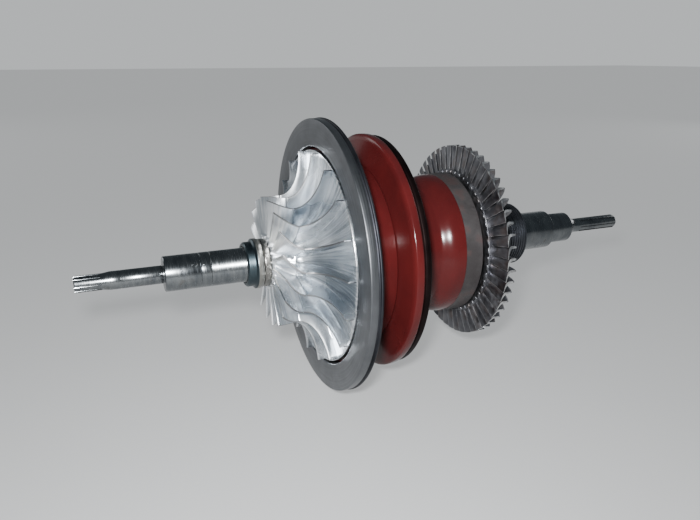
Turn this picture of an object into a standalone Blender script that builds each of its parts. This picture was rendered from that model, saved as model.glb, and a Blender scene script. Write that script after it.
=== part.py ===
"""Rotor shaft of a large exhaust turbocharger, with the partition wall that is trapped on it.

The shaft lies along +X, from the compressor end to the turbine end. X is 0 on the rear face of
the carrier ring, where the wall is bolted up, and the origin is at the bottom of that face.
The rotor (shaft, inducer, impeller, seals, turbine) turns inside the wall.
"""
import math

import bmesh
import bpy
from mathutils import Matrix, Vector

# Driving dimensions, in metres. FRONT is the station of the diffuser ring's front face, and the
# other stations are measured from it along the shaft.
FRONT = -0.020
SEAT_RADIUS = 0.214

# Clearances and common thicknesses.
GAP = 0.0003
RUNNING_GAP = 0.0005
WALL = 0.010

# Partition wall.
RING_RADIUS = 0.228
CARRIER_RADIUS = 0.229
RING_BORE = 0.183
RING_SPLIT = FRONT + 0.0133
PLATE_START = FRONT + 0.0145
PLATE_END = FRONT + 0.0245
NECK_RADIUS = 0.151
NECK_END = FRONT + 0.0805
FLANGE_RADIUS = 0.200
FLANGE_BORE = 0.130
FLANGE_END = FRONT + 0.1025
BACKING_RADIUS = 0.197
BACKING_END = FRONT + 0.114
DRUM_START_RADIUS = 0.127
DRUM_WAIST = FRONT + 0.157
DRUM_WAIST_RADIUS = 0.1095
DRUM_END = FRONT + 0.220
DRUM_END_RADIUS = 0.1235
END_RING_RADIUS = 0.1245
END_RING_BORE = 0.100
END_RING_END = FRONT + 0.252
BUSH_BORE = 0.064
SLEEVE_RADIUS = 0.050

# Compressor wheel, in two pieces.
INLET = FRONT - 0.087
JUNCTION = FRONT - 0.052
WHEEL_BACK = FRONT + 0.009
IMPELLER_RADIUS = 0.178
INDUCER_RADIUS = 0.107
HUB_AT_INLET = 0.042
HUB_AT_JUNCTION = 0.052
BLADE_WIDTH_AT_TIP = 0.014
WHEEL_BLADES = 18
WHEEL_BLADE_THICKNESS = 0.0035
FIRST_BLADE = math.radians(6)
INLET_TWIST = math.radians(18.4)

# Turbine wheel.
DISC_FRONT = FRONT + 0.260
DISC_BACK = FRONT + 0.293
TURBINE_TIP = 0.172
TURBINE_ROOT = 0.130
PLATFORM_THICKNESS = 0.0057
TURBINE_SECTORS = 9
BLADES_PER_SECTOR = 6

# Turbine end seal.
FIN_END = FRONT + 0.392
FIN_CREST = 0.057
FIN_ROOT = 0.053
FINS = 6

# Shaft and collars.
SHAFT_START = FRONT - 0.380
JOURNAL_START = FRONT - 0.251
JOURNAL_END = FRONT - 0.125
COLLAR_END = FRONT - 0.099
SHOULDER_END = FRONT + 0.470
TURBINE_JOURNAL_END = FRONT + 0.520
SHAFT_STOP = FRONT + 0.647
JOURNAL_RADIUS = 0.028
SEAT_OF_WHEELS = 0.030
CORE_RADIUS = 0.040
THIN_RADIUS = 0.0143
SPLINE_RADIUS = 0.0127
PIN_RADIUS = 0.0134

# Facets around a turned piece.
ROUND_STEPS = 48
SMALL_STEPS = 32
SHAFT_STEPS = 24


def clear_scene():
    """Removes what a new file starts with, so that the model stands alone."""
    for old in list(bpy.data.objects):
        bpy.data.objects.remove(old, do_unlink=True)


def new_collection(name):
    """Makes a collection in the scene."""
    collection = bpy.data.collections.new(name)
    bpy.context.scene.collection.children.link(collection)
    return collection


def finish(name, colour, roughness, metallic):
    """Makes a Principled material."""
    material = bpy.data.materials.new(name)
    material.use_nodes = True
    shader = material.node_tree.nodes["Principled BSDF"]
    shader.inputs["Base Color"].default_value = (*colour, 1.0)
    shader.inputs["Roughness"].default_value = roughness
    shader.inputs["Metallic"].default_value = metallic
    material.diffuse_color = (*colour, 1.0)
    return material


def smooth(mesh, angle=30):
    """Shades a round mesh smooth, with its real edges sharp."""
    mesh.shade_smooth()
    mesh.set_sharp_from_angle(angle=math.radians(angle))


class Model:
    """Holds the collections, the two bodies' empties and the finishes while the parts are made."""

    def __init__(self):
        self.parts = new_collection("turbocharger_rotor_shaft")
        self.cutters = new_collection("cutters")
        self.wall = self.empty("partition_wall_axis")
        self.rotor = self.empty("rotor_axis")
        self.steel = finish("machined_steel", (0.42, 0.42, 0.42), 0.38, 1.0)
        self.dark_steel = finish("oil_dark_steel", (0.10, 0.12, 0.13), 0.35, 1.0)
        self.aluminium = finish("polished_aluminium", (0.78, 0.80, 0.83), 0.22, 1.0)
        self.red_paint = finish("red_paint", (0.30, 0.030, 0.025), 0.35, 0.0)
        self.bare_casting = finish("bare_casting", (0.16, 0.15, 0.14), 0.6, 0.8)
        self.heat_steel = finish("heat_stained_steel", (0.17, 0.15, 0.14), 0.4, 1.0)

    def empty(self, name):
        """Makes an empty on the shaft's axis, which carries one body's pieces."""
        axis = bpy.data.objects.new(name, None)
        axis.location = (0, 0, SEAT_RADIUS)
        self.parts.objects.link(axis)
        return axis

    def add(self, name, mesh, body, material, cutter=False):
        """Links a mesh as a named piece on a body, or as a guide that the build leaves out."""
        piece = bpy.data.objects.new(name, mesh)
        if cutter:
            piece.hide_render = True
            piece.display_type = "WIRE"
            self.cutters.objects.link(piece)
        else:
            mesh.materials.append(material)
            self.parts.objects.link(piece)
        piece.parent = body
        return piece

    def turned(self, name, outline, body, material, steps=ROUND_STEPS):
        """Turns an outline of (station, radius) points about the shaft's axis.

        The outline runs along the outer side towards the turbine. A ring's outline comes back
        along its bore. A solid's outline starts and stops on the axis.
        """
        mesh = bpy.data.meshes.new(name)
        points = [(radius, 0, station) for station, radius in reversed(outline)]
        edges = [(i, i + 1) for i in range(len(points) - 1)]
        if outline[0][1] > 0:
            edges.append((len(points) - 1, 0))
        mesh.from_pydata(points, edges, [])
        piece = self.add(name, mesh, body, material)
        piece.rotation_euler = (0, math.pi / 2, 0)
        screw = piece.modifiers.new("turn", "SCREW")
        screw.axis = "Z"
        screw.steps = screw.render_steps = steps
        screw.use_merge_vertices = True
        screw.merge_threshold = 0.00005
        screw.use_smooth_shade = True
        return piece

    def joined(self, piece, others):
        """Joins guides to a piece with a Boolean union each."""
        for other in others:
            union = piece.modifiers.new("join_" + other.name, "BOOLEAN")
            union.operation = "UNION"
            union.object = other
            union.solver = "EXACT"


def arc(centre, radii, start, stop, steps):
    """Points of an elliptical arc, as (station, radius); angles in degrees from the station axis."""
    points = []
    for i in range(steps + 1):
        angle = math.radians(start + (stop - start) * i / steps)
        points.append((centre[0] + radii[0] * math.cos(angle), centre[1] + radii[1] * math.sin(angle)))
    return points


def ring(start, stop, inner, outer):
    """Outline of a plain ring."""
    return [(start, outer), (stop, outer), (stop, inner), (start, inner)]


def chamfered_ring(start, stop, inner, outer, edge):
    """Outline of a ring whose two outer edges are chamfered."""
    return [(start, outer - edge), (start + edge, outer), (stop - edge, outer), (stop, outer - edge),
            (stop, inner), (start, inner)]


# The wheels' hub line and shroud line, as (station, radius) for a share of the way along them.


def hub_point(share):
    """Point of the impeller's hub line: a quarter ellipse that ends on the disc's front."""
    angle = share * math.pi / 2
    return (JUNCTION + (FRONT - JUNCTION) * math.sin(angle),
            HUB_AT_JUNCTION + (IMPELLER_RADIUS - HUB_AT_JUNCTION) * (1 - math.cos(angle)))


def shroud_point(share):
    """Point of the impeller blades' outer edge: a quarter ellipse down to the blade's tip."""
    angle = share * math.pi / 2
    return (JUNCTION + (FRONT - BLADE_WIDTH_AT_TIP - JUNCTION) * math.sin(angle),
            INDUCER_RADIUS + (IMPELLER_RADIUS - INDUCER_RADIUS) * (1 - math.cos(angle)))


def inducer_hub_point(share):
    """Point of the inducer's hub line, from its nose to the impeller."""
    return (INLET + (JUNCTION - INLET) * share, HUB_AT_INLET + (HUB_AT_JUNCTION - HUB_AT_INLET) * share)


def inducer_shroud_point(share):
    """Point of the inducer blades' outer edge."""
    return (INLET + (JUNCTION - INLET) * share, INDUCER_RADIUS)


def inducer_twist(share):
    """Angle by which an inducer blade leans towards the flow, greatest at its inlet edge."""
    return INLET_TWIST * (1 - share) ** 1.7


def radial(share):
    """The impeller's blades are radial all the way."""
    return 0.0


def blade_sheets(name, hub_line, shroud_line, lean, columns, root_sink, margins):
    """Makes the open middle surfaces of a wheel's blades, as one mesh for Solidify.

    Each surface is a loft between the hub line, sunk by root_sink, and the shroud line, and stops
    short of the wheel's faces by the two margins, as shares of its length.
    """
    sheet = bmesh.new()
    for blade in range(WHEEL_BLADES):
        turn = FIRST_BLADE + 2 * math.pi * blade / WHEEL_BLADES
        lines = []
        for i in range(columns + 1):
            share = margins[0] + (1 - margins[0] - margins[1]) * i / columns
            foot, edge = Vector(hub_line(share)), Vector(shroud_line(share))
            foot -= (edge - foot).normalized() * root_sink
            angle = turn - lean(share)
            lines.append([sheet.verts.new((station, -radius * math.sin(angle), radius * math.cos(angle)))
                          for station, radius in (foot, edge)])
        for (foot_a, edge_a), (foot_b, edge_b) in zip(lines, lines[1:]):
            sheet.faces.new((foot_a, foot_b, edge_b, edge_a))
    mesh = bpy.data.meshes.new(name)
    sheet.to_mesh(mesh)
    sheet.free()
    return mesh


def thicken(piece, thickness):
    """Gives a blade surface its thickness, half to each side."""
    shell = piece.modifiers.new("thickness", "SOLIDIFY")
    shell.thickness = thickness
    shell.offset = 0
    shell.use_even_offset = True


def build_shaft(model):
    """The stepped steel shaft, splined at both ends, as one piece."""
    edge = 0.001
    middle = 0.044
    middle_start, middle_end = FRONT + 0.092, FRONT + 0.217
    thin_start = FRONT - 0.329
    shoulder = 0.0355
    cone_length = 0.026
    end_chamfer = 0.006
    outline = [
        (SHAFT_START, 0), (SHAFT_START, SPLINE_RADIUS - edge), (SHAFT_START + edge, SPLINE_RADIUS),
        (thin_start - 0.010, SPLINE_RADIUS), (thin_start, THIN_RADIUS), (JOURNAL_START, THIN_RADIUS),
        (JOURNAL_START, JOURNAL_RADIUS - edge), (JOURNAL_START + edge, JOURNAL_RADIUS),
        (JOURNAL_END, JOURNAL_RADIUS), (JOURNAL_END, SEAT_OF_WHEELS),
        (WHEEL_BACK + 0.002, SEAT_OF_WHEELS), (WHEEL_BACK + 0.002, CORE_RADIUS),
        (middle_start, CORE_RADIUS), (middle_start, middle), (middle_end, middle), (middle_end, CORE_RADIUS),
        (FIN_END, CORE_RADIUS), (FIN_END, shoulder), (SHOULDER_END, shoulder),
        (SHOULDER_END, JOURNAL_RADIUS), (TURBINE_JOURNAL_END, JOURNAL_RADIUS),
        (TURBINE_JOURNAL_END + 0.25 * cone_length, 0.0215), (TURBINE_JOURNAL_END + 0.55 * cone_length, 0.0165),
        (TURBINE_JOURNAL_END + cone_length, PIN_RADIUS),
        (SHAFT_STOP - end_chamfer, PIN_RADIUS), (SHAFT_STOP, PIN_RADIUS - 0.005), (SHAFT_STOP, 0),
    ]
    shaft = model.turned("shaft", outline, model.rotor, model.steel, SHAFT_STEPS)
    past_end = 0.002
    ends = (("compressor", SHAFT_START - past_end, FRONT - 0.340, SPLINE_RADIUS),
            ("turbine", FRONT + 0.553, SHAFT_STOP + past_end, PIN_RADIUS))
    for end, start, stop, radius in ends:
        cutter = spline_cutter(model, end + "_end_spline_cutter", start, stop, radius)
        cut = shaft.modifiers.new("cut_" + end + "_spline", "BOOLEAN")
        cut.operation = "DIFFERENCE"
        cut.object = cutter
        cut.solver = "EXACT"


def spline_cutter(model, name, start, stop, radius):
    """Bars that cut the spline's grooves around a shaft's end."""
    grooves = 8
    width, depth = 0.004, 0.0022
    bars = bmesh.new()
    for i in range(grooves):
        turn = Matrix.Rotation(2 * math.pi * (i + 0.5) / grooves, 4, "X")
        size = Matrix.Diagonal((stop - start, width, 2 * depth, 1))
        place = Matrix.Translation(((start + stop) / 2, 0, radius))
        bmesh.ops.create_cube(bars, size=1, matrix=turn @ place @ size)
    mesh = bpy.data.meshes.new(name)
    bars.to_mesh(mesh)
    bars.free()
    return model.add(name, mesh, model.rotor, None, cutter=True)


def build_collars(model):
    """The collar, the clamping ring and the two seal sleeves that ride on the shaft."""
    seat = SEAT_OF_WHEELS + GAP
    core = CORE_RADIUS + GAP
    start, step = JOURNAL_END + GAP, FRONT - 0.112
    chamfer = 0.0025
    low, high = 0.0365, 0.041
    model.turned("locating_collar",
                 [(start, low - chamfer), (start + chamfer, low), (step, low), (step + chamfer, high),
                  (COLLAR_END, high), (COLLAR_END, seat), (start, seat)],
                 model.rotor, model.dark_steel, SMALL_STEPS)
    model.turned("clamping_ring",
                 chamfered_ring(COLLAR_END + GAP, INLET - GAP, seat, 0.0395, 0.0015),
                 model.rotor, model.steel, SMALL_STEPS)
    model.turned("air_seal_sleeve", ring(WHEEL_BACK + 0.002 + GAP, FRONT + 0.092 - GAP, core, SLEEVE_RADIUS),
                 model.rotor, model.steel, SMALL_STEPS)
    model.turned("gas_seal_sleeve", ring(FRONT + 0.217 + GAP, DISC_FRONT - GAP, core, SLEEVE_RADIUS),
                 model.rotor, model.steel, SMALL_STEPS)


def build_inducer(model):
    """The inducer: a short hub with curved blades that scoop the air in."""
    seat = SEAT_OF_WHEELS + GAP
    outline = [(INLET, HUB_AT_INLET), (JUNCTION - GAP, HUB_AT_JUNCTION), (JUNCTION - GAP, seat), (INLET, seat)]
    hub = model.turned("inducer_wheel", outline, model.rotor, model.aluminium)
    mesh = blade_sheets("inducer_blades", inducer_hub_point, inducer_shroud_point, inducer_twist,
                        columns=4, root_sink=0.004, margins=(0.07, 0.035))
    blades = model.add("inducer_blades", mesh, model.rotor, None, cutter=True)
    thicken(blades, WHEEL_BLADE_THICKNESS)
    model.joined(hub, [blades])


def build_impeller(model):
    """The impeller: a full back disc with radial blades that meet the inducer's."""
    seat = SEAT_OF_WHEELS + GAP
    rim_edge = 0.003
    outline = [hub_point(i / 6) for i in range(7)]
    outline += [(FRONT + rim_edge, IMPELLER_RADIUS), (WHEEL_BACK - rim_edge, IMPELLER_RADIUS - 0.004),
                (WHEEL_BACK, 0.150), (WHEEL_BACK, seat), (JUNCTION, seat)]
    hub = model.turned("impeller_wheel", outline, model.rotor, model.aluminium)
    mesh = blade_sheets("impeller_blades", hub_point, shroud_point, radial,
                        columns=6, root_sink=0.003, margins=(0.008, 0.005))
    blades = model.add("impeller_blades", mesh, model.rotor, None, cutter=True)
    thicken(blades, WHEEL_BLADE_THICKNESS)
    model.joined(hub, [blades])


def blade_section(share):
    """Outline of a turbine blade across its length, as (station, sideways) points.

    The blade narrows from root (0) to tip (1). Its middle line leaves the thin edge, which faces the
    wall, around the wheel, bends over to run along the shaft, and falls back a little towards the edge
    that meets the gas.
    """
    front = DISC_FRONT + 0.0035 + 0.0035 * share
    bend_width = 0.0105 - 0.0035 * share
    tail = 0.0160 - 0.0060 * share
    reach = 0.0115 + 0.0068 * share
    fall = 0.0020 + 0.0010 * share
    thickness = 0.0044
    middle = [Vector((front + bend_width * (1 - math.cos(a) ** 0.8), reach * math.sin(a) ** 0.8))
              for a in (0.0, 0.45, 0.85, 1.2, math.pi / 2)]
    middle += [Vector((front + bend_width + tail * u, reach - fall * u * u)) for u in (0.5, 1.0)]
    upper, lower = [middle[0]], []
    for before, point, after, fullness in zip(middle, middle[1:], middle[2:], (0.5, 0.8, 1.0, 1.0, 0.8)):
        along = (after - before).normalized()
        side = Vector((-along.y, along.x)) * thickness * fullness / 2
        upper.append(point + side)
        lower.append(point - side)
    return upper + [middle[-1]] + lower[::-1]


def turbine_blade(mesh, turn):
    """Lofts one turbine blade through sections at its root, middle and tip."""
    sink = 0.0015
    thin_edge = math.radians(3.0)
    rows = []
    for share, radius in ((0.0, TURBINE_ROOT - sink), (0.5, (TURBINE_ROOT + TURBINE_TIP) / 2), (1.0, TURBINE_TIP)):
        row = []
        for station, side in blade_section(share):
            angle = turn + thin_edge - side / radius
            row.append(mesh.verts.new((station, -radius * math.sin(angle), radius * math.cos(angle))))
        rows.append(row)
    count = len(rows[0])
    for low, high in zip(rows, rows[1:]):
        for i in range(count):
            j = (i + 1) % count
            mesh.faces.new((low[i], low[j], high[j], high[i]))
    mesh.faces.new(rows[0])
    mesh.faces.new(reversed(rows[-1]))


def build_turbine(model):
    """The turbine disc, and the blades around it in sectors that each carry six."""
    seat = CORE_RADIUS + GAP
    rim_inner = TURBINE_ROOT - PLATFORM_THICKNESS - GAP
    rim_band = 0.004
    web_radius = 0.110
    hub_outer = 0.062
    rim_front, rim_back = DISC_FRONT + 0.001, DISC_BACK - 0.003
    disc = [(DISC_FRONT, hub_outer), (DISC_FRONT + 0.006, hub_outer + 0.006), (DISC_FRONT + 0.004, web_radius),
            (rim_front, rim_inner - rim_band), (rim_front, rim_inner),
            (rim_back, rim_inner), (rim_back, rim_inner - rim_band), (DISC_BACK - 0.006, web_radius),
            (DISC_BACK, hub_outer), (DISC_BACK, seat), (DISC_FRONT, seat)]
    model.turned("turbine_disc", disc, model.rotor, model.heat_steel)

    sector_angle = 2 * math.pi / TURBINE_SECTORS
    clearance = GAP / TURBINE_ROOT
    platform = bmesh.new()
    platform_front, platform_back = DISC_FRONT - 0.001, DISC_BACK - 0.002
    corners = [(platform_front, rim_inner + GAP), (platform_back, rim_inner + GAP),
               (platform_back, TURBINE_ROOT), (platform_front, TURBINE_ROOT)]
    start = Matrix.Rotation(-(sector_angle - clearance) / 2, 4, "X")
    face = platform.faces.new([platform.verts.new(start @ Vector((x, 0, r))) for x, r in corners])
    bmesh.ops.spin(platform, geom=[face], cent=(0, 0, 0), axis=(1, 0, 0), angle=sector_angle - clearance, steps=6)
    bmesh.ops.recalc_face_normals(platform, faces=platform.faces)
    mesh = bpy.data.meshes.new("turbine_platform")
    platform.to_mesh(mesh)
    platform.free()
    base = model.add("turbine_platform", mesh, model.rotor, None, cutter=True)

    blades = bmesh.new()
    for i in range(BLADES_PER_SECTOR):
        pitch = sector_angle / BLADES_PER_SECTOR
        turbine_blade(blades, (i - (BLADES_PER_SECTOR - 1) / 2) * pitch)
    bmesh.ops.recalc_face_normals(blades, faces=blades.faces)
    blade_mesh = bpy.data.meshes.new("turbine_blade_set")
    blades.to_mesh(blade_mesh)
    blades.free()
    blade_set = model.add("turbine_blade_set", blade_mesh, model.rotor, None, cutter=True)
    model.joined(base, [blade_set])

    bpy.context.view_layer.update()
    evaluated = base.evaluated_get(bpy.context.evaluated_depsgraph_get())
    sector_mesh = bpy.data.meshes.new_from_object(evaluated)
    sector_mesh.name = "turbine_sector"
    sector_mesh.materials.clear()
    smooth(sector_mesh)
    sector_mesh.materials.append(model.heat_steel)
    for i in range(TURBINE_SECTORS):
        sector = bpy.data.objects.new(f"turbine_blades_{i + 1:02d}", sector_mesh)
        model.parts.objects.link(sector)
        sector.parent = model.rotor
        sector.rotation_euler = (i * sector_angle, 0, 0)


def build_turbine_end_seal(model):
    """The finned sleeve that seals the turbine end, with its fins as broad ridges."""
    core = CORE_RADIUS + GAP
    start = DISC_BACK + GAP
    pitch = (FIN_END - start) / FINS
    outline = []
    for i in range(FINS):
        begin = start + i * pitch
        outline += [(begin, FIN_ROOT), (begin + 0.45 * pitch, FIN_CREST), (begin + 0.60 * pitch, FIN_CREST)]
    outline += [(FIN_END, FIN_ROOT), (FIN_END, core), (start, core)]
    model.turned("turbine_end_seal", outline, model.rotor, model.dark_steel, SMALL_STEPS)


def build_rings(model):
    """The diffuser ring, the carrier ring behind it and the plate that closes the wall."""
    edge = 0.001
    model.turned("diffuser_ring",
                 [(FRONT, RING_RADIUS - edge), (FRONT + edge, RING_RADIUS), (RING_SPLIT - GAP, RING_RADIUS),
                  (RING_SPLIT - GAP, RING_BORE), (FRONT, RING_BORE)],
                 model.wall, model.steel)
    model.turned("carrier_ring",
                 [(RING_SPLIT, CARRIER_RADIUS), (-edge, CARRIER_RADIUS), (0, CARRIER_RADIUS - edge),
                  (0, RING_BORE), (RING_SPLIT, RING_BORE)],
                 model.wall, model.dark_steel)
    model.turned("partition_plate", ring(PLATE_START, PLATE_END, BUSH_BORE, RING_BORE - GAP),
                 model.wall, model.red_paint)


def build_outlet_castings(model):
    """The red neck, the outlet flange and the backing ring behind the flange."""
    neck = ring(PLATE_END + GAP, NECK_END - GAP, NECK_RADIUS - WALL, NECK_RADIUS)
    model.turned("neck_casting", neck, model.wall, model.red_paint)

    bulge = 0.004
    rim_edge = 0.003
    flange = [(NECK_END, NECK_RADIUS + 0.002), (NECK_END + bulge, FLANGE_RADIUS - 0.004),
              (NECK_END + bulge + rim_edge, FLANGE_RADIUS), (FLANGE_END - rim_edge, FLANGE_RADIUS),
              (FLANGE_END, FLANGE_RADIUS - rim_edge), (FLANGE_END, FLANGE_BORE), (NECK_END, FLANGE_BORE)]
    model.turned("outlet_flange", flange, model.wall, model.red_paint)

    backing = chamfered_ring(FLANGE_END + GAP, BACKING_END, 0.110, BACKING_RADIUS, 0.002)
    model.turned("backing_ring", backing, model.wall, model.dark_steel)


def build_drum(model):
    """The waisted red drum, the bare ring at its end, the cover inside it and the seal bushes."""
    start = BACKING_END + GAP
    outer = []
    steps_to_waist = 3
    for i in range(steps_to_waist):
        share = i / steps_to_waist
        outer.append((start + (DRUM_WAIST - start) * share,
                      DRUM_WAIST_RADIUS + (DRUM_START_RADIUS - DRUM_WAIST_RADIUS) * (1 - share) ** 2))
    steps_to_end = 5
    for i in range(steps_to_end + 1):
        share = i / steps_to_end
        rise = (math.sin(share * math.pi / 2) ** 2 + share) / 2
        outer.append((DRUM_WAIST + (DRUM_END - DRUM_WAIST) * share,
                      DRUM_WAIST_RADIUS + (DRUM_END_RADIUS - DRUM_WAIST_RADIUS) * rise))
    drum = outer + [(DRUM_END, DRUM_END_RADIUS - WALL), (DRUM_WAIST, DRUM_WAIST_RADIUS - WALL), (start, 0.115)]
    model.turned("exhaust_drum", drum, model.wall, model.red_paint)

    round_edge = 0.006
    shoulder = arc((END_RING_END - round_edge, END_RING_RADIUS - round_edge), (round_edge, round_edge), 90, 0, 3)
    end_ring = [(DRUM_END + GAP, DRUM_END_RADIUS)] + shoulder
    end_ring += [(END_RING_END, END_RING_BORE), (DRUM_END + GAP, END_RING_BORE)]
    model.turned("bare_end_ring", end_ring, model.wall, model.bare_casting)

    cover_end = END_RING_END - 0.003
    model.turned("end_cover", ring(FRONT + 0.239, cover_end, BUSH_BORE, END_RING_BORE - GAP),
                 model.wall, model.bare_casting)

    bore = SLEEVE_RADIUS + RUNNING_GAP
    model.turned("air_seal_bush", ring(FRONT + 0.015, FRONT + 0.077, bore, BUSH_BORE - GAP),
                 model.wall, model.bare_casting, SMALL_STEPS)
    model.turned("gas_seal_bush", ring(FRONT + 0.227, cover_end, bore, BUSH_BORE - GAP),
                 model.wall, model.bare_casting, SMALL_STEPS)


def main():
    """Builds the whole object."""
    clear_scene()
    model = Model()
    build_shaft(model)
    build_collars(model)
    build_inducer(model)
    build_impeller(model)
    build_turbine(model)
    build_turbine_end_seal(model)
    build_rings(model)
    build_outlet_castings(model)
    build_drum(model)


main()
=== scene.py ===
"""Dressed scene of a turbocharger's rotor shaft with the partition wall that is trapped on it.

Stations are measured along the shaft, in metres, from the diffuser ring's front face. The shaft
lies along +X at AXIS_HEIGHT, and every piece is modelled in its place around it.
"""
import logging
import math
from dataclasses import dataclass
from enum import Enum
from typing import Callable, Iterable

import bmesh
import bpy
from mathutils import Matrix, Vector


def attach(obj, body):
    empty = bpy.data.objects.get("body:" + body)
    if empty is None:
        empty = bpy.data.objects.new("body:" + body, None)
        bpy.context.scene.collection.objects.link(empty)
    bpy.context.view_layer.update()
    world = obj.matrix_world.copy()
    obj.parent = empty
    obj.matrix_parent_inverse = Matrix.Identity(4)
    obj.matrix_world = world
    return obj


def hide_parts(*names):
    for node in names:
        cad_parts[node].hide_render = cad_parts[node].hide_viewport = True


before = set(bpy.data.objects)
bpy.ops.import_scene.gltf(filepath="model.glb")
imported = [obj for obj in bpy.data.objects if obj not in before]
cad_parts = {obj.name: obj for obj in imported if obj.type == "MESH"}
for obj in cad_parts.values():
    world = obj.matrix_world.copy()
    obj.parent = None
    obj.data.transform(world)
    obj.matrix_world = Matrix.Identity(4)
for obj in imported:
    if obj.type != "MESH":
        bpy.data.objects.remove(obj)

logging.basicConfig(level=logging.INFO, format="%(message)s")
log = logging.getLogger("rotor_shaft")

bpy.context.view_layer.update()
FRONT = -0.020
AXIS_HEIGHT = 0.214
AXIS_POINT = (0.0, 0.0, AXIS_HEIGHT)
ORIGIN = (0.0, 0.0, 0.0)
ALONG = (1.0, 0.0, 0.0)
FULL_TURN = 2 * math.pi

Piece = bpy.types.Object
Socket = bpy.types.NodeSocket
Triple = tuple[float, float, float]
Colour = Triple
Ends = tuple[float, float]
Point = tuple[float, float]
Outline = list[Point]
Line = Callable[[float], Point]


class Body(Enum):
    """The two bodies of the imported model."""

    WALL = "partition_wall"
    ROTOR = "rotor"


class Slot(Enum):
    """The record's material slots."""

    SHAFT = "shaft_steel"
    DARK = "oil_dark_steel"
    WHEEL = "wheel_aluminium"
    TURBINE = "turbine_steel"
    RING = "ring_steel"
    PAINT = "red_paint"
    CASTING = "bare_casting"


# Finishes

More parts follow.
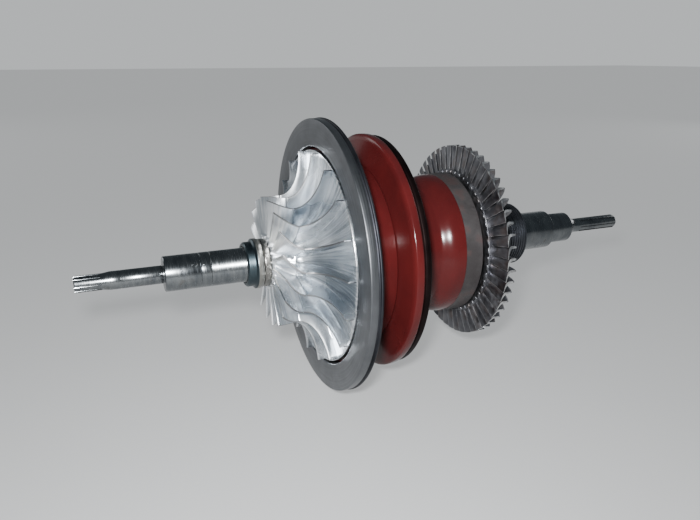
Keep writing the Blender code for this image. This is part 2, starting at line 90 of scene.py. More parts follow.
class Recipe:
    """Builds one finish's nodes, on coordinates that are centred on the shaft."""

    def __init__(self, name: str) -> None:
        """Starts a material with its Principled shader.

        Args:
            name: The material's name.
        """
        self.material = bpy.data.materials.new(name)
        self.material.use_nodes = True
        self.tree = self.material.node_tree
        self.shader = self.tree.nodes["Principled BSDF"]
        place = self.node("ShaderNodeTexCoord").outputs["Object"]
        self.centred = self.vector("SUBTRACT", place, AXIS_POINT)
        self.station = self.node("ShaderNodeSeparateXYZ", {"Vector": self.centred}).outputs["X"]
        across = self.vector("MULTIPLY", self.centred, (0.0, 1.0, 1.0))
        self.radius = self.node("ShaderNodeVectorMath", {0: across}, operation="LENGTH").outputs["Value"]
        self.heading = self.vector("NORMALIZE", across)

    def put(self, socket: Socket, value: object) -> None:
        """Feeds a socket, and gives a colour its alpha.

        Args:
            socket: The socket that is fed.
            value: Another socket, or a constant.
        """
        if isinstance(value, Socket):
            self.tree.links.new(value, socket)
        elif isinstance(value, tuple) and len(value) < len(socket.default_value):
            socket.default_value = (*value, 1.0)
        else:
            socket.default_value = value

    def node(self, kind: str, inputs: dict | None = None, **settings: object) -> bpy.types.Node:
        """Adds a node.

        Args:
            kind: The node's type.
            inputs: Sockets or constants by input name or number.
            settings: The node's own settings.

        Returns:
            The node.
        """
        node = self.tree.nodes.new(kind)
        for key, value in settings.items():
            setattr(node, key, value)
        for key, value in (inputs or {}).items():
            self.put(node.inputs[key], value)
        return node

    def vector(self, operation: str, a: object, b: object = ORIGIN) -> Socket:
        """Returns the vector result of a Vector Math node on a and b."""
        return self.node("ShaderNodeVectorMath", {0: a, 1: b}, operation=operation).outputs["Vector"]

    def math(self, operation: str, a: object, b: object = 0.0) -> Socket:
        """Returns the result of a Math node on a and b."""
        return self.node("ShaderNodeMath", {0: a, 1: b}, operation=operation).outputs["Value"]

    def weighed(self, first: Socket, second: Socket, share: float) -> Socket:
        """Returns the sum of two values, the first by a share and the second by the rest."""
        return self.math("ADD", self.math("MULTIPLY", first, share), self.math("MULTIPLY", second, 1 - share))

    def noise(self, vector: object, scale: float, detail: float) -> Socket:
        """Returns the Fac of a Noise Texture on a vector."""
        inputs = {"Vector": vector, "Scale": scale, "Detail": detail, "Roughness": 0.55}
        return self.node("ShaderNodeTexNoise", inputs).outputs["Fac"]

    def cloud(self, scale: float, detail: float) -> Socket:
        """Returns noise that has no direction, at a number of clouds a metre."""
        return self.noise(self.centred, scale, detail)

    def drawn(self, along: Socket, pace: float, detail: float) -> Socket:
        """Returns noise whose marks run one way.

        Args:
            along: The value that the noise follows along the shaft.
            pace: How fast it changes around the shaft.
            detail: The noise's detail.

        Returns:
            The noise's Fac.
        """
        around = self.node("ShaderNodeVectorMath", {0: self.heading, "Scale": pace}, operation="SCALE")
        split = self.node("ShaderNodeSeparateXYZ", {"Vector": around.outputs["Vector"]})
        inputs = {"X": along, "Y": split.outputs["Y"], "Z": split.outputs["Z"]}
        return self.noise(self.node("ShaderNodeCombineXYZ", inputs).outputs["Vector"], 1.0, detail)

    def turned(self, fineness: float, breaks: float) -> Socket:
        """Returns noise drawn out around the shaft, as a lathe's tool leaves it.

        Args:
            fineness: Marks a metre across the feed.
            breaks: How soon a mark ends around the shaft.

        Returns:
            The noise's Fac.
        """
        feed = self.math("ADD", self.station, self.radius)
        return self.drawn(self.math("MULTIPLY", feed, fineness), breaks, 2.0)

    def flow(self, fineness: float, breaks: float) -> Socket:
        """Returns noise drawn out from hub to tip, as milling along a passage leaves it.

        Args:
            fineness: Marks in a radian around the shaft.
            breaks: How soon a mark ends along the passage, a metre.

        Returns:
            The noise's Fac.
        """
        passage = self.math("SUBTRACT", self.radius, self.station)
        return self.drawn(self.math("MULTIPLY", passage, breaks), fineness, 3.0)

    def spread(self, value: object, low: float, high: float, start: float = 0.0, stop: float = 1.0) -> Socket:
        """Returns a value's range from low to high mapped to start to stop, and clamped."""
        inputs = {"Value": value, "From Min": low, "From Max": high, "To Min": start, "To Max": stop}
        return self.node("ShaderNodeMapRange", inputs).outputs["Result"]

    def blend(self, share: object, first: object, second: object) -> Socket:
        """Returns the mix of two colours by a share."""
        return self.node("ShaderNodeMix", {0: share, 6: first, 7: second}, data_type="RGBA").outputs[2]

    def set(self, **values: object) -> None:
        """Feeds inputs of the shader, named with underscores for spaces."""
        for key, value in values.items():
            self.put(self.shader.inputs[key.replace("_", " ")], value)

    def relief(self, height: Socket, depth: float, strength: float = 1.0,
               below: Socket | None = None) -> Socket:
        """Raises a relief on the surface.

        Args:
            height: The relief's height, from 0 to 1.
            depth: What 1 stands for, in metres.
            strength: How much of it shows.
            below: The normal of a relief that this one lies on.

        Returns:
            The Bump node's normal.
        """
        inputs = {"Height": height, "Distance": depth, "Strength": strength}
        if below is not None:
            inputs["Normal"] = below
        return self.node("ShaderNodeBump", inputs).outputs["Normal"]


@dataclass(frozen=True)
class TurnedSteel:
    """Lathe-turned steel: fine marks around the shaft, clouds of oil film and brown grease spots.

    The scales of its marks, bands, film and grease are numbers a metre.
    """

    name: str
    light: Colour
    dark: Colour
    roughness: float
    marks: float = 1100.0
    bands: float = 160.0
    film: float = 34.0
    film_share: float = 0.6
    grease: float = 70.0
    depth: float = 0.000007
    stains: float = 0.3
    stain: Colour = (0.075, 0.045, 0.02)
    bright_from: float | None = None
    bright: Colour = (0.25, 0.245, 0.225)
    blur: float = 0.0004

    def make(self) -> bpy.types.Material:
        """Mixes the finish.

        Returns:
            The material.
        """
        r = Recipe(self.name)
        film = r.cloud(self.film, detail=6.0)
        lines = r.turned(self.marks, breaks=2.0)
        bands = r.turned(self.bands, breaks=0.8)
        tone = r.spread(r.weighed(film, bands, self.film_share), low=0.38, high=0.62)
        colour = r.blend(tone, self.dark, self.light)
        if self.bright_from is not None:
            edge = FRONT + self.bright_from
            worn = r.spread(r.station, low=edge - self.blur, high=edge + self.blur)
            colour = r.blend(worn, colour, self.bright)
        spots = r.spread(r.cloud(self.grease, detail=8.0), low=0.60, high=0.72)
        spots = r.math("MULTIPLY", spots, self.stains)
        colour = r.blend(spots, colour, self.stain)
        gloss = r.spread(lines, low=0.3, high=0.7, start=self.roughness * 0.75, stop=self.roughness * 1.35)
        gloss = r.math("ADD", gloss, r.math("MULTIPLY", spots, 0.3))
        r.set(Base_Color=colour, Metallic=1.0, Roughness=gloss, Normal=r.relief(lines, self.depth))
        return r.material


@dataclass(frozen=True)
class BladeEdge:
    """The line of a wheel's blade edges: a quarter of an ellipse, or a cylinder where it has no rise."""

    start: float
    inner: float
    run: float = 0.0
    outer: float = 0.0

    def mask(self, r: Recipe) -> Socket:
        """Finds the blades' outer edges.

        Args:
            r: The recipe that gets the nodes.

        Returns:
            1 on the edges and 0 inside the passages.
        """
        if not self.run:
            return r.spread(r.radius, low=self.inner - 0.0009, high=self.inner - 0.0003)
        along = r.math("DIVIDE", r.math("SUBTRACT", r.station, FRONT + self.start), self.run)
        across = r.math("DIVIDE", r.math("SUBTRACT", self.outer, r.radius), self.outer - self.inner)
        reach = r.math("ADD", r.math("MULTIPLY", along, along), r.math("MULTIPLY", across, across))
        return r.spread(reach, low=1.012, high=1.040, start=1.0, stop=0.0)


@dataclass(frozen=True)
class PolishedAluminium:
    """Milled and hand-polished aluminium: bright, with soft light and dark streaks along the flow that are
    partly milling marks and partly painted sheen.
    """

    name: str
    edge: BladeEdge
    light: Colour = (0.93, 0.95, 0.97)
    dark: Colour = (0.38, 0.42, 0.46)
    edge_shade_tone: Colour = (0.13, 0.125, 0.125)
    edge_shade_cover: float = 0.85
    roughness: float = 0.25
    streaks: float = 0.70

    def make(self) -> bpy.types.Material:
        """Mixes the finish.

        Returns:
            The material.
        """
        r = Recipe(self.name)
        streak = r.flow(fineness=34.0, breaks=9.0)
        fine = r.flow(fineness=240.0, breaks=24.0)
        haze = r.cloud(16.0, detail=2.0)
        tone = r.weighed(streak, haze, self.streaks)
        # The colour swings from dark to light along the streaks: partly milling marks, partly painted sheen.
        colour = r.blend(r.spread(tone, low=0.36, high=0.60), self.dark, self.light)
        edge = self.edge.mask(r)
        # Painted shade: the blades' outer edges get a dark tone that stands for the dark surroundings they
        # reflect.
        colour = r.blend(r.math("MULTIPLY", edge, self.edge_shade_cover), colour, self.edge_shade_tone)
        rough = r.spread(haze, low=0.35, high=0.65, start=self.roughness * 0.8, stop=self.roughness * 1.25)
        rough = r.math("ADD", rough, r.math("MULTIPLY", edge, 0.2))
        normal = r.relief(streak, depth=0.0005, strength=0.25)
        normal = r.relief(fine, depth=0.00003, strength=0.5, below=normal)
        r.set(Base_Color=colour, Metallic=1.0, Roughness=rough, Normal=normal)
        return r.material


@dataclass(frozen=True)
class MachinePaint:
    """Red machine paint over a casting: glossy, a little uneven, with dust and dull patches."""

    name: str
    colour: Colour = (0.056, 0.0066, 0.0066)
    shade: Colour = (0.041, 0.0055, 0.0057)
    dust_tone: Colour = (0.16, 0.06, 0.05)
    dust_cover: float = 0.30
    roughness: float = 0.16
    grain_depth: float = 0.00004
    wave_depth: float = 0.00016
    gloss: float = 0.21

    def make(self) -> bpy.types.Material:
        """Mixes the finish.

        Returns:
            The material.
        """
        r = Recipe(self.name)
        patches = r.cloud(14.0, detail=5.0)
        dust = r.spread(r.cloud(900.0, detail=1.0), low=0.68, high=0.80)
        colour = r.blend(r.spread(patches, low=0.35, high=0.65), self.shade, self.colour)
        colour = r.blend(r.math("MULTIPLY", dust, self.dust_cover), colour, self.dust_tone)
        rough = r.spread(patches, low=0.3, high=0.7, start=self.roughness * 0.8, stop=self.roughness * 1.4)
        normal = r.relief(r.cloud(60.0, detail=2.0), self.wave_depth, strength=0.35)
        normal = r.relief(r.cloud(420.0, detail=2.0), self.grain_depth, strength=0.5, below=normal)
        r.set(Base_Color=colour, Roughness=rough, Normal=normal, Specular_IOR_Level=self.gloss)
        return r.material


@dataclass(frozen=True)
class HeatedSteel:
    """Steel that has run in hot gas: grey, sooty, with warm clouds, fine scale and bright edges that are
    partly wear and partly a painted highlight.
    """

    name: str
    light: Colour = (0.21, 0.21, 0.225)
    dark: Colour = (0.085, 0.085, 0.095)
    tint: Colour = (0.19, 0.15, 0.13)
    worn: Colour = (0.58, 0.58, 0.58)
    roughness: float = 0.42

    def make(self) -> bpy.types.Material:
        """Mixes the finish.

        Returns:
            The material.
        """
        r = Recipe(self.name)
        scale = r.cloud(90.0, detail=6.0)
        soot = r.spread(r.cloud(26.0, detail=4.0), low=0.36, high=0.62)
        colour = r.blend(soot, self.dark, self.light)
        warm = r.spread(r.cloud(48.0, detail=3.0), low=0.5, high=0.7)
        colour = r.blend(r.math("MULTIPLY", warm, 0.5), colour, self.tint)
        # The bright colour on the marked edges and tips is partly wear and partly a painted highlight.
        wear = r.node("ShaderNodeAttribute", attribute_name="wear").outputs["Fac"]
        patchy = r.spread(r.cloud(70.0, detail=4.0), low=0.35, high=0.60, start=0.35, stop=1.0)
        colour = r.blend(r.math("MULTIPLY", wear, patchy), colour, self.worn)
        rough = r.spread(scale, low=0.3, high=0.7, start=self.roughness * 0.75, stop=self.roughness * 1.5)
        normal = r.relief(scale, depth=0.0002, strength=0.4)
        r.set(Base_Color=colour, Metallic=1.0, Roughness=rough, Normal=normal)
        return r.material


@dataclass(frozen=True)
class BareCasting:
    """Bare iron casting with a matte, slightly rusty skin."""

    name: str
    light: Colour = (0.054, 0.050, 0.050)
    dark: Colour = (0.031, 0.027, 0.027)
    rust: Colour = (0.070, 0.032, 0.028)
    roughness: float = 0.55

    def make(self) -> bpy.types.Material:
        """Mixes the finish.

        Returns:
            The material.
        """
        r = Recipe(self.name)
        skin = r.cloud(260.0, detail=4.0)
        patch = r.spread(r.cloud(20.0, detail=5.0), low=0.38, high=0.62)
        colour = r.blend(patch, self.dark, self.light)
        rusty = r.spread(r.cloud(40.0, detail=6.0), low=0.52, high=0.72, stop=0.6)
        colour = r.blend(rusty, colour, self.rust)
        rough = r.spread(skin, low=0.3, high=0.7, start=self.roughness * 0.8, stop=self.roughness * 1.3)
        normal = r.relief(skin, depth=0.0004, strength=0.5)
        r.set(Base_Color=colour, Metallic=0.35, Roughness=rough, Normal=normal)
        return r.material


class FinishRack:
    """The finishes, made once and shared by the pieces."""

    def __init__(self) -> None:
        """Makes every finish."""
        impeller_edge = BladeEdge(start=-0.052, inner=0.107, run=0.038, outer=0.178)
        inducer_edge = BladeEdge(start=-0.087, inner=0.107)
        self.shaft = TurnedSteel("ground_shaft_steel", light=(0.21, 0.22, 0.225), dark=(0.12, 0.13, 0.14),
                                 roughness=0.22).make()
        self.collar = TurnedSteel("oil_black_steel", light=(0.060, 0.080, 0.090), dark=(0.038, 0.052, 0.060),
                                  roughness=0.34, stains=0.15, bright_from=-0.1085).make()
        self.carrier = TurnedSteel("black_carrier_steel", light=(0.042, 0.043, 0.050),
                                   dark=(0.020, 0.021, 0.025), roughness=0.50, stains=0.1).make()
        # Painted shade: the backing ring's near-black brown stands for the shadowed gap between the flange
        # and the drum.
        self.backing = TurnedSteel("backing_steel_painted_shade", light=(0.014, 0.009, 0.009),
                                   dark=(0.008, 0.005, 0.005), roughness=0.60, stains=0.1).make()
        self.clamp = TurnedSteel("worn_clamp_steel", light=(0.27, 0.26, 0.24), dark=(0.12, 0.12, 0.115),
                                 roughness=0.28).make()
        self.ring = TurnedSteel("faced_ring_steel", light=(0.155, 0.160, 0.170), dark=(0.115, 0.120, 0.128),
                                roughness=0.40, marks=2200.0, stains=0.12).make()
        self.seal = TurnedSteel("sooty_seal_steel", light=(0.13, 0.135, 0.15), dark=(0.075, 0.080, 0.090),
                                roughness=0.42).make()
        self.impeller = PolishedAluminium("polished_impeller_aluminium", impeller_edge).make()
        # Painted light: the inducer gets a brighter copy of the impeller's aluminium, standing in for the
        # flash sheen on its faces.
        self.inducer = PolishedAluminium("inducer_aluminium_painted_sheen", inducer_edge, light=(0.97, 0.98, 0.99),
                                         dark=(0.64, 0.68, 0.72), roughness=0.34).make()
        self.paint = MachinePaint("red_machine_paint").make()
        self.turbine = HeatedSteel("heat_tinted_steel").make()
        self.casting = BareCasting("bare_rusty_casting").make()


# Modelling by hand

def between(start: float, stop: float, share: float) -> float:
    """Returns the value at a share of the way from start to stop."""
    return start + (stop - start) * share


def turn_about_shaft(angle: float) -> Matrix:
    """Returns the transform that turns by an angle about the shaft."""
    axis = Matrix.Translation(AXIS_POINT)
    return axis @ Matrix.Rotation(angle, 4, "X") @ axis.inverted()


class Bench:
    """The modelling bench: short names for what is done with Blender's own tools."""

    @staticmethod
    def start(primitive: Callable, name: str, **settings: object) -> Piece:
        """Starts a piece from a primitive, with nothing else selected.

        Args:
            primitive: The operator that adds it.
            name: The piece's name.
            settings: The operator's settings.

        Returns:
            The piece.
        """
        bpy.ops.object.select_all(action="DESELECT")
        primitive(**settings)
        piece = bpy.context.active_object
        piece.name = piece.data.name = name
        return piece

    @staticmethod
    def pick(piece: Piece) -> None:
        """Makes a piece the only one selected, and the active one."""
        bpy.ops.object.select_all(action="DESELECT")
        piece.select_set(True)
        bpy.context.view_layer.objects.active = piece

    @staticmethod
    def enter() -> None:
        """Takes the active piece into edit mode, with all of it selected."""
        bpy.ops.object.mode_set(mode="EDIT")
        bpy.ops.mesh.select_all(action="SELECT")

    @staticmethod
    def leave() -> None:
        """Takes the active piece out of edit mode."""
        bpy.ops.object.mode_set(mode="OBJECT")

    @staticmethod
    def settle(piece: Piece) -> None:
        """Takes a piece out of edit mode, and puts its place, turn and scale into its mesh."""
        Bench.leave()
        Bench.pick(piece)
        bpy.ops.object.transform_apply(location=True, rotation=True, scale=True)

    @staticmethod
    def select(piece: Piece, wanted: Iterable[int]) -> None:
        """Selects vertices by number, in edit mode.

        Args:
            piece: The piece in edit mode.
            wanted: The vertices' numbers.
        """
        bpy.ops.mesh.select_all(action="DESELECT")
        mesh = bmesh.from_edit_mesh(piece.data)
        mesh.verts.ensure_lookup_table()
        for number in wanted:
            mesh.verts[number].select = True
        mesh.select_flush(True)
        bmesh.update_edit_mesh(piece.data)

    @staticmethod
    def turn(angle: float, axis: str = "X", centre: Iterable[float] = AXIS_POINT) -> None:
        """Turns what is selected in edit mode.

        Args:
            angle: The operator's value, in radians; with no window, it turns the other way.
            axis: The axis that it turns about.
            centre: The point that it turns about.
        """
        bpy.ops.transform.rotate(value=angle, orient_axis=axis, center_override=centre)

    @staticmethod
    def close_up(distance: float = 0.00001) -> None:
        """Merges the doubles of what is in edit mode, and turns its faces outwards.

        Args:
            distance: How far apart doubles are at most, in metres.
        """
        bpy.ops.mesh.select_all(action="SELECT")
        bpy.ops.mesh.remove_doubles(threshold=distance)
        bpy.ops.mesh.normals_make_consistent(inside=False)

    @staticmethod
    def apply(piece: Piece, kind: str, **settings: object) -> None:
        """Adds a modifier to a piece and applies it.

        Args:
            piece: The piece.
            kind: The modifier's type.
            settings: The modifier's settings.
        """
        Bench.pick(piece)
        modifier = piece.modifiers.new(kind.lower(), kind)
        for key, value in settings.items():
            setattr(modifier, key, value)
        bpy.ops.object.modifier_apply(modifier=modifier.name)

    @staticmethod
    def soften(piece: Piece, width: float, segments: int = 2, angle: float = 30.0) -> None:
        """Breaks a piece's sharp edges with a bevel.

        Args:
            piece: The piece.
            width: The bevel's width, in metres.
            segments: Steps across the bevel.
            angle: The least angle of an edge that is broken, in degrees.
        """
        Bench.apply(piece, "BEVEL", width=width, segments=segments, limit_method="ANGLE",
                    angle_limit=math.radians(angle), use_clamp_overlap=True, miter_outer="MITER_ARC")

    @staticmethod
    def weigh(piece: Piece, shares: Iterable[float]) -> None:
        """Notes for every vertex of a sheet, in order, its share of the thickness."""
        group = piece.vertex_groups.new(name="thickness")
        for number, share in enumerate(shares):
            group.add([number], share, "REPLACE")

    @staticmethod
    def thicken(piece: Piece, thickness: float, even: bool) -> None:
        """Gives a weighed sheet its thickness, half of it to each side.

        Args:
            piece: The sheet.
            thickness: The full thickness, in metres.
            even: Whether the thickness is kept where the sheet bends.
        """
        Bench.apply(piece, "SOLIDIFY", thickness=thickness, offset=0.0, use_even_offset=even,
                    vertex_group="thickness", thickness_vertex_group=0.0)
        Bench.enter()
        Bench.close_up(0.000001)
        Bench.leave()

    @staticmethod
    def repeat_around(piece: Piece, count: int, pitch: float) -> None:
        """Repeats a piece around the shaft, inside its own mesh.

        Args:
            piece: The piece.
            count: How many there are in all.
            pitch: The angle from one to the next, in radians.
        """
        Bench.pick(piece)
        Bench.enter()
        steps = count - 1
        bpy.ops.mesh.spin(steps=steps, angle=pitch * steps, dupli=True, center=AXIS_POINT, axis=ALONG)
        bpy.ops.mesh.select_all(action="SELECT")
        bpy.ops.mesh.normals_make_consistent(inside=False)
        Bench.leave()

    @staticmethod
    def shade(piece: Piece, angle: float = 32.0) -> None:
        """Shades a piece smooth, with edges sharper than an angle left sharp."""
        Bench.pick(piece)
        bpy.ops.object.shade_smooth_by_angle(angle=math.radians(angle))

    @staticmethod
    def join(keeper: Piece, others: list[Piece]) -> None:
        """Joins other pieces into a keeper.

        Args:
            keeper: The piece that stays.
            others: The pieces that go into it.
        """
        Bench.pick(keeper)
        for other in others:
            other.select_set(True)
        bpy.ops.object.join()

    @staticmethod
    def combine(piece: Piece, tool: Piece, operation: str) -> None:
        """Unites a piece with a tool, or cuts it, and removes the tool.

        Args:
            piece: The piece.
            tool: The shape that is added or cut away.
            operation: UNION or DIFFERENCE.
        """
        Bench.apply(piece, "BOOLEAN", operation=operation, object=tool, solver="EXACT")
        bpy.data.objects.remove(tool, do_unlink=True)

    @staticmethod
    def turned_copy(piece: Piece, name: str, angle: float) -> Piece:
        """Copies a piece, with its own mesh turned about the shaft.

        Args:
            piece: The piece.
            name: The copy's name.
            angle: The turn about +X, in radians.

        Returns:
            The copy.
        """
        copy = piece.copy()
        copy.data = piece.data.copy()
        copy.name = copy.data.name = name
        bpy.context.scene.collection.objects.link(copy)
        copy.data.transform(turn_about_shaft(angle))
        return copy


@dataclass(frozen=True)
class Lathe:
    """Turns outlines of (station, radius) about the shaft."""

    steps: int = 144
    arris: float = 0.0005
    segments: int = 2

    def turn(self, name: str, outline: Outline, hollow: bool = True) -> Piece:
        """Draws an outline point by point and spins it about the shaft.

        Args:
            name: The piece's name.
            outline: Stations from the ring's front face, and radii.
            hollow: Whether the outline comes back to its first point.

        Returns:
            The turned piece.
        """
        points = [Vector((FRONT + station, 0.0, AXIS_HEIGHT + radius)) for station, radius in outline]
        if hollow:
            points.append(points[0])
        piece = Bench.start(bpy.ops.mesh.primitive_plane_add, name, size=0.01, location=points[0])
        Bench.enter()
        bpy.ops.mesh.merge(type="CENTER")
        for start, stop in zip(points, points[1:]):
            bpy.ops.mesh.extrude_vertices_move(TRANSFORM_OT_translate={"value": stop - start})
        bpy.ops.mesh.select_all(action="SELECT")
        bpy.ops.mesh.remove_doubles(threshold=0.00001)
        bpy.ops.mesh.select_all(action="SELECT")
        bpy.ops.mesh.spin(steps=self.steps, angle=FULL_TURN, center=AXIS_POINT, axis=ALONG)
        Bench.close_up()
        Bench.settle(piece)
        if self.arris:
            Bench.soften(piece, self.arris, self.segments)
        Bench.shade(piece)
        return piece


@dataclass(frozen=True)
class BladeSheet:
    """Shapes one blade from a grid: columns along the flow, rows from root to edge."""

    columns: int
    heights: tuple[float, ...]
    thickness: float

    def shape(self, name: str, foot: Line, edge: Line, lean: Callable[[float], float],
              share_of: Callable[[int], float], weight: Callable[[float], float]) -> Piece:
        """Shapes the blade's middle surface column by column, and thickens it.

        Args:
            name: The blade's name.
            foot: Station and radius of the blade's root at a share of the flow.
            edge: Station and radius of the blade's outer edge.
            lean: Angle about the shaft.
            share_of: Share of the flow at a column.
            weight: Thickness at a height, as a share of the full one.

        Returns:
            The blade.
        """
        rows, across = len(self.heights) - 1, self.columns + 1
        blade = Bench.start(bpy.ops.mesh.primitive_grid_add, name, x_subdivisions=self.columns,
                            y_subdivisions=rows, size=1.0)
        Bench.enter()
        for j, height in enumerate(self.heights):
            Bench.select(blade, range(j * across, (j + 1) * across))
            bpy.ops.transform.translate(value=(0.0, height - (j / rows - 0.5), 0.0))
        bpy.ops.mesh.select_all(action="SELECT")
        Bench.turn(-math.pi / 2, centre=ORIGIN)
        for i in range(across):
            share = share_of(i)
            Bench.select(blade, range(i, across * (rows + 1), across))
            low, high = Vector(foot(share)), Vector(edge(share))
            rise = high - low
            middle = (i / self.columns - 0.5, 0.0, 0.0)
            bpy.ops.transform.resize(value=(1.0, 1.0, rise.length), center_override=middle)
            Bench.turn(-math.atan2(rise.x, rise.y), "Y", middle)
            bpy.ops.transform.translate(value=(FRONT + low.x - middle[0], 0.0, AXIS_HEIGHT + low.y))
            Bench.turn(-lean(share))
        Bench.settle(blade)
        Bench.weigh(blade, (weight(height) for height in self.heights for _ in range(across)))
        Bench.thicken(blade, self.thickness, even=True)
        return blade


def report(piece: Piece, body: Body, slot: Slot, finish: bpy.types.Material, *nodes: str) -> None:
    """Dresses a piece, puts it on its body and hides the CAD nodes that it stands for.

    Args:
        piece: The piece.
        body: The body that carries it.
        slot: The record's slot of its material; not used.
        finish: Its material.
        nodes: The CAD nodes that it replaces.
    """
    piece.data.materials.clear()
    piece.data.materials.append(finish)
    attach(piece, body.value)
    if nodes:
        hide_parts(*nodes)
    log.info("%s: %d faces on %s", piece.name, len(piece.data.polygons), body.value)


def arc(centre: Point, radius: float, start: float, stop: float, steps: int) -> Outline:
    """Draws a circular arc.

    Args:
        centre: Station and radius of the centre.
        radius: The arc's radius.
        start: First angle from the station axis, in degrees.
        stop: Last angle.
        steps: Parts that the arc is cut into.

    Returns:
        The arc's points.
    """
    angles = [math.radians(between(start, stop, i / steps)) for i in range(steps + 1)]
    return [(centre[0] + radius * math.cos(a), centre[1] + radius * math.sin(a)) for a in angles]


# Sub-assemblies

@dataclass
class Shaft:
    """The stepped steel shaft, splined at both ends."""

    lathe: Lathe = Lathe(steps=96, arris=0.0005)
    start: float = -0.380
    spline_end: float = -0.340
    thin_start: float = -0.329
    scribed_line: float = -0.314
    journal_start: float = -0.251
    groove_stations: Ends = (-0.196, -0.180)
    journal_end: float = -0.125
    hidden_start: float = 0.011
    seal_end: float = 0.392
    shoulder_end: float = 0.470
    second_end: float = 0.520
    cone_length: float = 0.026
    flutes_start: float = 0.553
    stop: float = 0.647
    spline_radius: float = 0.0127
    thin_radius: float = 0.0143
    journal_radius: float = 0.028
    seat_radius: float = 0.029
    core_radius: float = 0.039
    shoulder_radius: float = 0.0355
    pin_radius: float = 0.0134
    line_width: float = 0.0016
    line_depth: float = 0.0004
    groove_depth: float = 0.0006
    undercut_depth: float = 0.0008
    front_undercut: float = 0.0020
    rear_undercut: float = 0.0022
    teeth: int = 8
    tooth_gap: float = 0.0042
    spline_depth: float = 0.0020
    flute_depth: float = 0.0022
    cutter_overrun: float = 0.004
    drop_radius: float = 0.0011
    drop_form: Triple = (1.3, 1.0, 0.45)
    drops: tuple[Point, ...] = ((-0.209, 37.0), (-0.2025, 32.0), (-0.192, 34.0), (-0.226, 20.0))

    def front_end(self) -> Outline:
        """Draws the grooved end, the thin length and the start of the journal.

        Returns:
            The outline's points.
        """
        thin, journal, line = self.thin_radius, self.journal_start, self.line_width / 2
        return [(self.start + 0.003, 0.0), (self.start + 0.003, 0.003), (self.start, 0.005),
                (self.start, self.spline_radius - 0.0015), (self.start + 0.0015, self.spline_radius),
                (self.spline_end, self.spline_radius), (self.thin_start, thin),
                (self.scribed_line - line, thin), (self.scribed_line, thin - self.line_depth),
                (self.scribed_line + line, thin), (journal - self.front_undercut, thin),
                (journal - self.front_undercut, thin - self.undercut_depth),
                (journal, thin - self.undercut_depth), (journal, self.journal_radius - 0.0012),
                (journal + 0.0012, self.journal_radius)]

    def rear_end(self) -> Outline:
        """Draws the shoulder, the second journal, the cone and the fluted pin.

        Returns:
            The outline's points.
        """
        journal, pin, shoulder = self.journal_radius, self.pin_radius, self.shoulder_end
        points = [(shoulder - 0.001, self.shoulder_radius), (shoulder, self.shoulder_radius - 0.001),
                  (shoulder, journal - self.undercut_depth),
                  (shoulder + self.rear_undercut, journal - self.undercut_depth),
                  (shoulder + self.rear_undercut, journal), (self.second_end - 0.001, journal),
                  (self.second_end + 0.0002, journal - 0.001)]
        points += [(self.second_end + self.cone_length * share,
                    between(pin, journal, 0.93 * (1 - share) ** 2.2))
                   for share in (0.12, 0.25, 0.38, 0.52, 0.66, 0.82, 1.0)]
        points += [(self.stop - 0.006, pin), (self.stop - 0.003, pin - 0.0016), (self.stop, pin - 0.005),
                   (self.stop, 0.004), (self.stop - 0.003, 0.0025), (self.stop - 0.003, 0.0)]
        return points

    def outline(self) -> Outline:
        """Draws the shaft's outline from end to end.

        Returns:
            The outline's points.
        """
        points, radius = self.front_end(), self.journal_radius
        for station in self.groove_stations:
            points += [(station - 0.0008, radius), (station - 0.0003, radius - self.groove_depth),
                       (station + 0.0003, radius - self.groove_depth), (station + 0.0008, radius)]
        points += [(self.journal_end, radius), (self.journal_end, self.seat_radius),
                   (self.hidden_start, self.seat_radius), (self.hidden_start, self.core_radius),
                   (self.seal_end, self.core_radius), (self.seal_end, self.shoulder_radius)]
        return points + self.rear_end()

    def spline_tool(self, start: float, stop: float, radius: float, depth: float) -> Piece:
        """Shapes the milled grooves of a spline as one cutting tool.

        Args:
            start: Station where the grooves start.
            stop: Station where they run out.
            radius: The shaft's radius there.
            depth: A groove's depth.

        Returns:
            The tool.
        """
        place = (FRONT + (start + stop) / 2, 0.0, AXIS_HEIGHT + radius)
        tool = Bench.start(bpy.ops.mesh.primitive_cube_add, "spline_cutter", size=1.0, location=place)
        Bench.enter()
        bpy.ops.transform.resize(value=(stop - start, self.tooth_gap, 2 * depth))
        Bench.settle(tool)
        Bench.soften(tool, min(self.tooth_gap, depth) * 0.35)
        Bench.repeat_around(tool, self.teeth, FULL_TURN / self.teeth)
        return tool

    def oil_drop(self, station: float, lift: float) -> Piece:
        """Shapes a drop of oil that stands on the journal.

        Args:
            station: Where it stands.
            lift: Its angle above the side that faces the camera, in degrees.

        Returns:
            The drop.
        """
        drop = Bench.start(bpy.ops.mesh.primitive_uv_sphere_add, "oil_drop", segments=16, ring_count=10,
                           radius=self.drop_radius)
        Bench.enter()
        bpy.ops.transform.resize(value=self.drop_form, center_override=ORIGIN)
        bpy.ops.transform.translate(value=(FRONT + station, 0.0, AXIS_HEIGHT + self.journal_radius))
        Bench.turn(math.radians(lift - 90))
        Bench.settle(drop)
        return drop

    def build(self, rack: FinishRack) -> None:
        """Turns the shaft and mills its splines.

        Args:
            rack: The finishes.
        """
        shaft = self.lathe.turn("turned_shaft", self.outline(), hollow=False)
        for tool in (self.spline_tool(self.start - self.cutter_overrun, self.spline_end - 0.002,
                                      self.spline_radius, self.spline_depth),
                     self.spline_tool(self.flutes_start, self.stop + self.cutter_overrun,
                                      self.pin_radius, self.flute_depth)):
            Bench.combine(shaft, tool, "DIFFERENCE")
        Bench.join(shaft, [self.oil_drop(station, lift) for station, lift in self.drops])
        Bench.shade(shaft, 30.0)
        report(shaft, Body.ROTOR, Slot.SHAFT, rack.shaft, "shaft")


